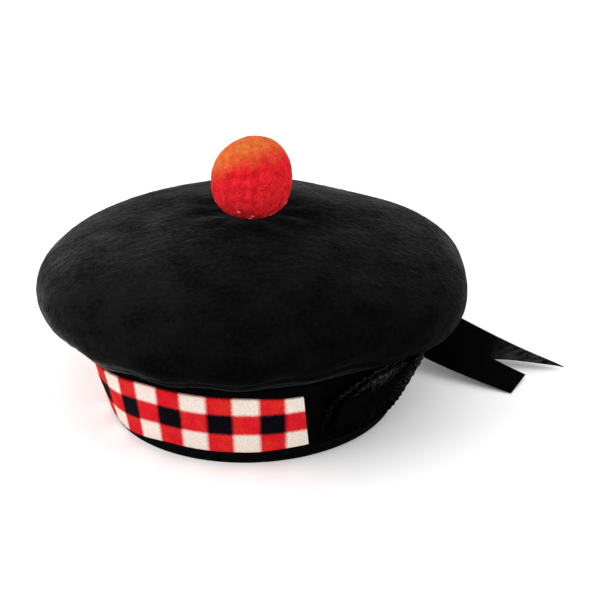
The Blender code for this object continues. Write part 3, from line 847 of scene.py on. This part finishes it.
def make_dicing():
    """The checked band, whose cells lie evenly along it from its end before the cockade."""
    shares = np.linspace(0.0, 1.0, DICING_COLUMNS)
    levels = np.linspace(0.0, 1.0, DICING_ROWS)
    corner = DICING_CORNER
    near = GAP
    far = GAP + DICING_THICKNESS
    foot_angles = DICING_START + (dicing_end(BINDING_HEIGHT) - DICING_START) * shares
    narrowed = smooth_step((foot_angles - NARROWING_START) / (DICING_END - NARROWING_START))
    foot = binding_height(foot_angles)[:, None] + GAP
    low = foot + NARROWING_FOOT * narrowed[:, None]
    high = foot + DICING_HEIGHT - NARROWING_TOP * narrowed[:, None]
    section = [(0.0, near), (0.0, far - corner)]
    section += [(corner / DICING_HEIGHT + (1.0 - 2 * corner / DICING_HEIGHT) * level, far)
                for level in levels]
    section += [(1.0, far - corner), (1.0, near)]
    heights = low + (high - low) * np.array([level for level, _ in section])
    angles = DICING_START + (dicing_end(heights) - DICING_START) * shares[:, None]
    points = band_points(angles, heights, np.array([out for _, out in section]))
    swell = noise_at(points, DICING_SWELL_SIZE, seed=5) * DICING_SWELL
    swell[:, [0, -1]] = 0.0
    points += unit(points * np.array([1.0, 1.0, 0.0])) * swell[..., None]
    piece = add_grid("diced_cloth", points, dicing_finish(), loop_columns=True)
    along = lengths_along(points)
    border = [np.interp(CHECK_BORDER_ANGLE, angles[:, i], along[:, i]) for i in range(len(section))]
    along = along - np.array(border)
    middle_level = len(section) // 2
    middle = along[:, [middle_level]]
    stretched = np.searchsorted(angles[:, middle_level], STRETCH_ANGLE)
    lean = (along - middle)[np.maximum(np.arange(len(shares)), stretched)]
    along = middle + lean
    mark(piece, "along", along)
    mark(piece, "up", heights - foot)
    mark(piece, "column", along / CHECK_LENGTH - CHECKS_TO_LAST)
    row_ends = (0.0, *MIDDLE_ROW, DICING_HEIGHT)
    mark(piece, "row", np.interp(heights - foot, row_ends, range(len(row_ends))))
    piece.data.set_sharp_from_angle(angle=math.radians(CLOTH_SHARP_ANGLE))
    place(piece, "dicing_band", "diced_wool")


def ball_ways(count):
    """Ways spread evenly over a ball."""
    index = np.arange(count) + 0.5
    height = 1.0 - 2.0 * index / count
    turn = math.pi * (1.0 + math.sqrt(5.0)) * index
    flat = np.sqrt(1.0 - height ** 2)
    return np.stack([np.cos(turn) * flat, np.sin(turn) * flat, height], axis=-1)


def toorie_reach(ways):
    """How far the pompom reaches along each way, as a share of its half size: a ball a little
    worn on one side and fuller below, where its yarn spreads on the crown."""
    flat = np.hypot(ways[:, 0], ways[:, 1])
    up = ways[:, 2]
    power = np.where(up > 0.0, TOORIE_TOP_POWER, TOORIE_FOOT_POWER)
    worn = np.clip(ways @ unit(np.array(TOORIE_WORN_WAY)), 0.0, 1.0) ** TOORIE_WORN_POWER
    ball = (flat ** power + np.abs(up) ** power) ** (-1.0 / power)
    return ball * (1.0 - TOORIE_WORN_DEPTH * worn)


def painted_highlight_at(ways):
    """How far the yarn is painted orange, as a painted highlight, along each way from the pompom's
    middle.
    """
    drift = HIGHLIGHT_DRIFT * noise_at(ways, HIGHLIGHT_DRIFT_SIZE, seed=15)
    bright = ways @ unit(np.array(TOORIE_BRIGHT_WAY)) + drift
    return smooth_step(bright / TOORIE_HIGHLIGHT_END)


def make_toorie():
    """Cut ends of yarn that stand close together all over a core."""
    low, high = (np.array(corner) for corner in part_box("toorie"))
    centre = (low + high) / 2
    half = (high - low) / 2
    chance = np.random.default_rng(11)
    ways = unit(ball_ways(YARN_ENDS) + chance.normal(0.0, WAY_SCATTER, (YARN_ENDS, 3)))
    lumps = noise_at(ways, YARN_LUMP_SIZE, seed=7)
    whorls = np.stack([noise_at(ways, YARN_LUMP_SIZE, seed) for seed in (8, 9, 10)], axis=-1)
    tips = unit(ways + whorls * YARN_LEAN)
    locks = noise_at(ways / np.array(LOCK_SIZE), 1.0, seed=17)
    locks = locks * smooth_step(LOCKED_BELOW - ways[:, 2])
    scatter = chance.uniform(0.0, YARN_SCATTER, YARN_ENDS)
    reach = toorie_reach(ways) * (1.0 + YARN_LUMP * lumps + LOCK_RISE * locks - scatter)
    near_crown = np.exp(-((ways[:, 2] - PALE_HEIGHT) / PALE_SPREAD) ** 2)
    pale = (chance.uniform(0.0, 1.0, YARN_ENDS) < PALE_SHARE * near_crown).astype(float)
    reach += pale * PALE_RISE
    sideways = unit(np.cross(ways, chance.normal(0.0, 1.0, (YARN_ENDS, 3))))
    upward = np.cross(ways, sideways)
    points = np.empty((YARN_ENDS, len(YARN_RINGS), YARN_SIDES, 3))
    for ring, row in enumerate(YARN_RINGS):
        way = unit(ways + (tips - ways) * row["lean"])
        spot = centre + way * (reach * row["reach"])[:, None] * half
        for corner in range(YARN_SIDES):
            turn = 2.0 * math.pi * corner / YARN_SIDES + ring
            around = sideways * math.cos(turn) + upward * math.sin(turn)
            points[:, ring, corner] = spot + around * (row["radius"] * (1.0 + pale))[:, None]
    yarn_faces = strand_faces(YARN_ENDS, len(YARN_RINGS))
    core_ball = bmesh.new()
    bmesh.ops.create_icosphere(core_ball, subdivisions=5, radius=1.0)
    core = np.array([tuple(vertex.co) for vertex in core_ball.verts])
    first = points.size // 3
    core_faces = [[first + vertex.index for vertex in face.verts] for face in core_ball.faces]
    core_ball.free()
    core_points = centre + core * toorie_reach(core)[:, None] * half * YARN_RINGS[1]["reach"]
    everything = np.concatenate([points.reshape(-1, 3), core_points])
    piece = add_mesh("wool_toorie", everything, yarn_faces + core_faces, toorie_finish())

    def for_ends(values, core_values):
        """Values for every vertex of the ends of yarn, and then of the core."""
        spread = np.broadcast_to(values, points.shape[:3]).ravel()
        return np.concatenate([spread, np.broadcast_to(core_values, len(core_points))])

    # Painted light: the ends on the ball's lower side get a brighter shade.
    painted_below = LOWER_PAINTED_LIGHT * smooth_step(PAINTED_LIGHT_BELOW - ways[:, 2])
    shade = CHANCE_SHADE * chance.uniform(0.0, 1.0, YARN_ENDS) + MIDDLE_SHADE
    shade = shade + LUMP_SHADE * lumps + LOCK_SHADE * locks + painted_below
    mark(piece, "shade", for_ends(shade[:, None, None], CORE_SHADE))
    mark(piece, "pale", for_ends(pale[:, None, None], 0.0))
    mark(piece, "painted_highlight", for_ends(painted_highlight_at(ways)[:, None, None], painted_highlight_at(core)))
    depth = np.array([row["depth"] for row in YARN_RINGS])
    mark(piece, "depth", for_ends(depth[None, :, None], CORE_DEPTH))
    place(piece, "toorie", "toorie_wool")


def strand_faces(strands, rings):
    """Faces of closed strands of yarn, whose vertices come strand by strand."""
    faces = grid_faces(rings, YARN_SIDES, loop_columns=True)
    starts = range(0, strands * rings * YARN_SIDES, rings * YARN_SIDES)
    return [[start + corner for corner in face] for start in starts for face in faces]


def cockade_length():
    """The cockade's length up the headband's wall."""
    wall = (BAND_HEIGHT - BINDING_HEIGHT) * math.hypot(1.0, BAND_FLARE)
    return (wall - 2 * COCKADE_CLEARANCE) / (1.0 + SCALLOP)


def cockade_points(side, rise, out):
    """Points side along the headband and rise up its wall from the cockade's middle, whose two
    ends stand off it."""
    middle_height = (BINDING_HEIGHT + BAND_HEIGHT) / 2
    from_end = COCKADE_SETBACK + COCKADE_WIDTH / 2 + side
    angle = DICING_END + from_end / band_speed(DICING_END, middle_height)
    height = middle_height + rise / math.hypot(1.0, BAND_FLARE)
    opening = 1.0 + COCKADE_OPENING * rise / (cockade_length() / 2)
    stand = COCKADE_STAND * (side / (COCKADE_WIDTH / 2)) ** 2 * opening
    return band_points(angle, height, out + stand)


def blunt(wave):
    """Widens a sine or cosine, so that the oval that they draw fills its corners."""
    return np.sign(wave) * np.abs(wave) ** (1.0 - COCKADE_BLUNTNESS)


def ruffle(name, width, length, gathers, base, seed, finish):
    """A sheet of silk, flat in its middle and gathered in small waves across its border."""
    columns = gathers * GATHER_COLUMNS
    turn = np.linspace(0.0, 2.0 * math.pi, columns, endpoint=False)[:, None]
    share = np.linspace(0.0, 1.0, RUFFLE_ROWS)[None, :]
    gathered = np.clip((share - GATHER_START) / (1.0 - GATHER_START), 0.0, 1.0)
    inner = np.minimum(share / GATHER_START, 1.0)
    ring = np.concatenate([np.cos(turn), np.sin(turn), np.zeros_like(turn)], axis=1)
    stray = noise_at(ring * STRAY_RATE, 1.0, seed)[:, None]
    uneven = noise_at(ring * UNEVEN_RATE, 1.0, seed + 1)[:, None]
    phase = gathers * turn + STRAY_PHASE * stray
    wave = 0.5 - 0.5 * np.cos(phase)
    depth = GATHER_DEPTH_SHARE * RUFFLE_DEPTH * (1.0 + UNEVEN_DEPTH * uneven)
    depth = depth * gathered * (GATHER_CLOSING - gathered)
    lift = RUFFLE_DEPTH * LIFT_SHARE * gathered ** RUFFLE_CURL
    side = (width / 2 - GATHER_WIDTH) * inner + GATHER_WIDTH * gathered
    rise = (length / 2 - GATHER_WIDTH) * inner + GATHER_WIDTH * gathered
    frill = 1.0 + SCALLOP * FRILL_SHARE * (FRILL_WAVE * np.cos(phase) + uneven) * gathered
    side = side * blunt(np.cos(turn)) * frill
    rise = rise * blunt(np.sin(turn)) * frill
    out = base + depth * wave + lift
    front = cockade_points(side, rise, out + SILK_THICKNESS)
    back = cockade_points(side, rise, out)
    piece = add_grid(name, both_sides(front, back), finish, loop_rows=True)
    lengths = np.broadcast_to(turn * (width + length) / 4, side.shape)
    mark(piece, "along", both_sides(lengths, lengths))
    # The edge mark places the painted highlights: on the gathered border, more toward the top and
    # one side, and none round one turn.
    worn = smooth_step(rise / length + HIGHLIGHT_RISE) * smooth_step(side / width + HIGHLIGHT_SIDE)
    edge = gathered * worn * (1.0 - hill(np.degrees(turn), UNLIT_TURN, UNLIT_SPREAD))
    mark(piece, "edge", both_sides(edge, edge))
    return piece


def make_cockade():
    """Two ruffled layers of silk ribbon and a flat tab of the same ribbon."""
    finish = silk_finish()
    length = cockade_length()
    front_base = GAP + RUFFLE_SPACING
    back = ruffle("cockade_back", COCKADE_WIDTH, length, BACK_GATHERS, base=GAP, seed=31,
                  finish=finish)
    front = ruffle("cockade_front", COCKADE_WIDTH - 2 * FRONT_RUFFLE_END_STEP,
                   length - 2 * FRONT_RUFFLE_SIDE_STEP, FRONT_GATHERS, base=front_base, seed=33,
                   finish=finish)
    tab = cockade_tab(front_base, finish)
    for piece in (back, front, tab):
        place(piece, "cockade", "cockade_silk")


def cockade_tab(front_base, finish):
    """A flat loop of ribbon, thick at its middle and round at its folds."""
    middle = (TAB_WIDTH - COCKADE_WIDTH) / 2 + TAB_SETBACK
    low = GAP + SILK
    high = front_base + SILK + TAB_RISE + TAB_SWELL
    sides = np.linspace(-1.0, 1.0, TAB_ROWS)
    turn = np.linspace(0.0, 2.0 * math.pi, TAB_COLUMNS, endpoint=False)
    across = np.sign(np.cos(turn)) * np.abs(np.cos(turn)) ** TAB_SQUARENESS
    through = np.sign(np.sin(turn)) * np.abs(np.sin(turn)) ** TAB_ROUNDNESS
    fold = np.sqrt(np.clip(1.0 - np.abs(sides) ** TAB_FOLD_POWER, 0.0, 1.0))[:, None]
    edge = fold * TAB_FOLD_SHARE + (1.0 - TAB_FOLD_SHARE)
    side = np.broadcast_to((middle + sides * TAB_WIDTH / 2)[:, None], (len(sides), len(turn)))
    rise = TAB_LIFT + across[None, :] * TAB_LENGTH / 2 * np.ones_like(side)
    out = (low + high) / 2 + through[None, :] * (high - low) / 2 * edge
    piece = add_grid("cockade_tab", cockade_points(side, rise, out), finish, loop_columns=True)
    mark(piece, "along", side)
    return piece


def ribbon_root(tail, degrees_on=0.0):
    """Where a tail's lower edge is sewn on, or a place some degrees on from it."""
    height = tail["root_height"] * BAND_HEIGHT
    out = GAP + tail["layer"] * (RIBBON_THICKNESS + GAP)
    setback = RIBBON_SETBACK / band_speed(DICING_START, height)
    return band_points(DICING_START - setback - degrees_on, height, out)


def ribbon_route(tail, share):
    """The plan of a tail's lower edge, a curve that leaves the headband straight along it."""
    start = ribbon_root(tail)
    leaving = unit(ribbon_root(tail, degrees_on=1.0) - start)
    tip = start + np.array([tail["tip_side"], tail["tip_back"], 0.0]) * RIBBON_SPAN
    heading = math.radians(tail["tip_heading"])
    arriving = np.array([math.sin(heading), math.cos(heading), 0.0])
    first = start + leaving * SEWN_LENGTH
    second = tip - arriving * ribbon_reach(tail) / 2
    share = np.asarray(share)[..., None]
    rest = 1.0 - share
    spot = start * rest ** 3 + first * 3 * rest ** 2 * share
    return spot + second * 3 * rest * share ** 2 + tip * share ** 3


def ribbon_reach(tail):
    """How far a tail's tip lies from where it is sewn on, seen from above."""
    return math.hypot(tail["tip_side"], tail["tip_back"]) * RIBBON_SPAN


def ribbon_frame(tail, share):
    """The lower edge's places, and the ways across the tail's width."""
    step = 0.002
    spot = ribbon_route(tail, share)
    ahead = ribbon_route(tail, np.minimum(share + step, 1.0))
    way = unit(ahead - ribbon_route(tail, np.maximum(share - step, 0.0)))
    turned = smooth_step(share * ribbon_reach(tail) / RIBBON_BANK_RUN)
    spot[..., 2] = RIBBON_FOOT + (spot[..., 2] - RIBBON_FOOT) * (1.0 - share) ** RIBBON_FALL
    root_bank = math.degrees(math.atan(BAND_FLARE))
    bank = np.radians(root_bank + (RIBBON_TIP_BANK - root_bank) * turned)[..., None]
    left = np.stack([-way[..., 1], way[..., 0], np.zeros_like(way[..., 0])], axis=-1)
    up = np.array([0.0, 0.0, 1.0])
    return spot, up * np.cos(bank) + left * np.sin(bank)


def make_ribbon(tail, finish):
    """A tail of grosgrain ribbon, thicker along its two woven edges."""
    lower_edge = ribbon_frame(tail, np.linspace(0.0, 1.0, RIBBON_SAMPLES))[0]
    length = float(lengths_along(lower_edge[:, None])[-1, 0])
    height = np.linspace(0.0, 1.0, RIBBON_STRIPS + 1)[None, :]
    shortening = tail["slant"] * RIBBON_WIDTH / length
    share = np.linspace(0.0, 1.0, RIBBON_ROWS + 1)[:, None] * (1.0 - shortening * (1.0 - height))
    spot, across = ribbon_frame(tail, share)
    sheet = spot + across * (RIBBON_WIDTH * height)[..., None]
    outward = unit(np.cross(np.gradient(sheet, axis=1), np.gradient(sheet, axis=0)))
    middle = sheet + outward * RIBBON_THICKNESS / 2
    from_edge = 1.0 - np.abs(2.0 * height - 1.0)
    woven_edge = WOVEN_EDGE_SWELL * np.exp(-(from_edge / WOVEN_EDGE_SPREAD) ** 2)
    half = RIBBON_THIN / 2 * (1.0 + woven_edge)
    front = middle + outward * half[..., None]
    back = middle - outward * half[..., None]
    points = both_sides(front, back)
    piece = add_grid(tail["name"] + "_tail", points, finish, loop_columns=True)
    mark(piece, "along", lengths_along(points))
    # Where a painted highlight goes, near the far end of the tail.
    painted_shine = smooth_step((share - SHINE_START) / SHINE_RISE)
    painted_shine = painted_shine * smooth_step((SHINE_END - share) / SHINE_FALL) * tail["painted_shine"]
    mark(piece, "painted_shine", both_sides(painted_shine, painted_shine))
    piece.data.set_sharp_from_angle(angle=math.radians(CLOTH_SHARP_ANGLE))
    place(piece, tail["name"], "tail_ribbon")


def make_floor():
    """A plain pale surface under the bonnet."""
    mesh = bpy.data.meshes.new("floor")
    half = FLOOR_HALF
    mesh.from_pydata([(-half, -half, 0), (half, -half, 0), (half, half, 0), (-half, half, 0)], [],
                     [(0, 1, 2, 3)])
    paper = Finish("floor_paper", (0.94, 0.94, 0.94), Roughness=0.9, Specular_IOR_Level=0.1)
    paper.colour(paper.blend(paper.noise(0.30), (0.935, 0.935, 0.935), (0.950, 0.950, 0.950)))
    mesh.materials.append(paper.material)
    floor = add_object("floor", mesh)


def point_at_bonnet(thing, azimuth, elevation, distance):
    """Turns a camera or a light to the bonnet. Azimuth 0 looks along +Y and 90 along -X."""
    turn = math.radians(azimuth)
    climb = math.radians(elevation)
    back = Vector((math.sin(turn) * math.cos(climb), -math.cos(turn) * math.cos(climb),
                   math.sin(climb)))
    thing.location = AIM + back * distance
    thing.rotation_euler = back.to_track_quat("Z", "Y").to_euler()


def make_camera():
    """The camera, where the photograph was taken from."""
    data = bpy.data.cameras.new("camera")
    data.lens = CAMERA_LENS_MM
    data.sensor_width = CAMERA_SENSOR_MM
    data.shift_x, data.shift_y = CAMERA_SHIFT
    camera = add_object("camera", data)
    point_at_bonnet(camera, CAMERA_AZIMUTH, CAMERA_ELEVATION, CAMERA_DISTANCE)
    bpy.context.scene.camera = camera


def make_light(name, from_camera, elevation, distance, size, power):
    """A soft square light, at an angle round the bonnet from the camera, to its right."""
    data = bpy.data.lights.new(name, "AREA")
    data.shape = "SQUARE"
    data.size = size
    data.energy = power
    point_at_bonnet(add_object(name, data), CAMERA_AZIMUTH + from_camera, elevation, distance)


def make_studio():
    """An even white room with soft lights from the upper left, the right and the front."""
    world = bpy.data.worlds.new("studio")
    world.use_nodes = True
    sky = world.node_tree.nodes["Background"]
    sky.inputs["Color"].default_value = (1.0, 1.0, 1.0, 1.0)
    sky.inputs["Strength"].default_value = 1.0
    bpy.context.scene.world = world
    make_light("key", from_camera=-72.0, elevation=38.0, distance=1.3, size=1.0, power=9.0)
    make_light("fill", from_camera=75.0, elevation=30.0, distance=1.5, size=1.2, power=5.8)
    make_light("front", from_camera=-10.0, elevation=50.0, distance=1.6, size=1.2, power=5.0)
    bpy.context.scene.view_settings.view_transform = "Standard"


make_camera()
make_studio()
make_floor()
make_crown()
make_headband()
make_binding()
make_dicing()
make_toorie()
make_cockade()
grosgrain = ribbon_finish()
for ribbon_tail in RIBBON_TAILS:
    make_ribbon(ribbon_tail, grosgrain)
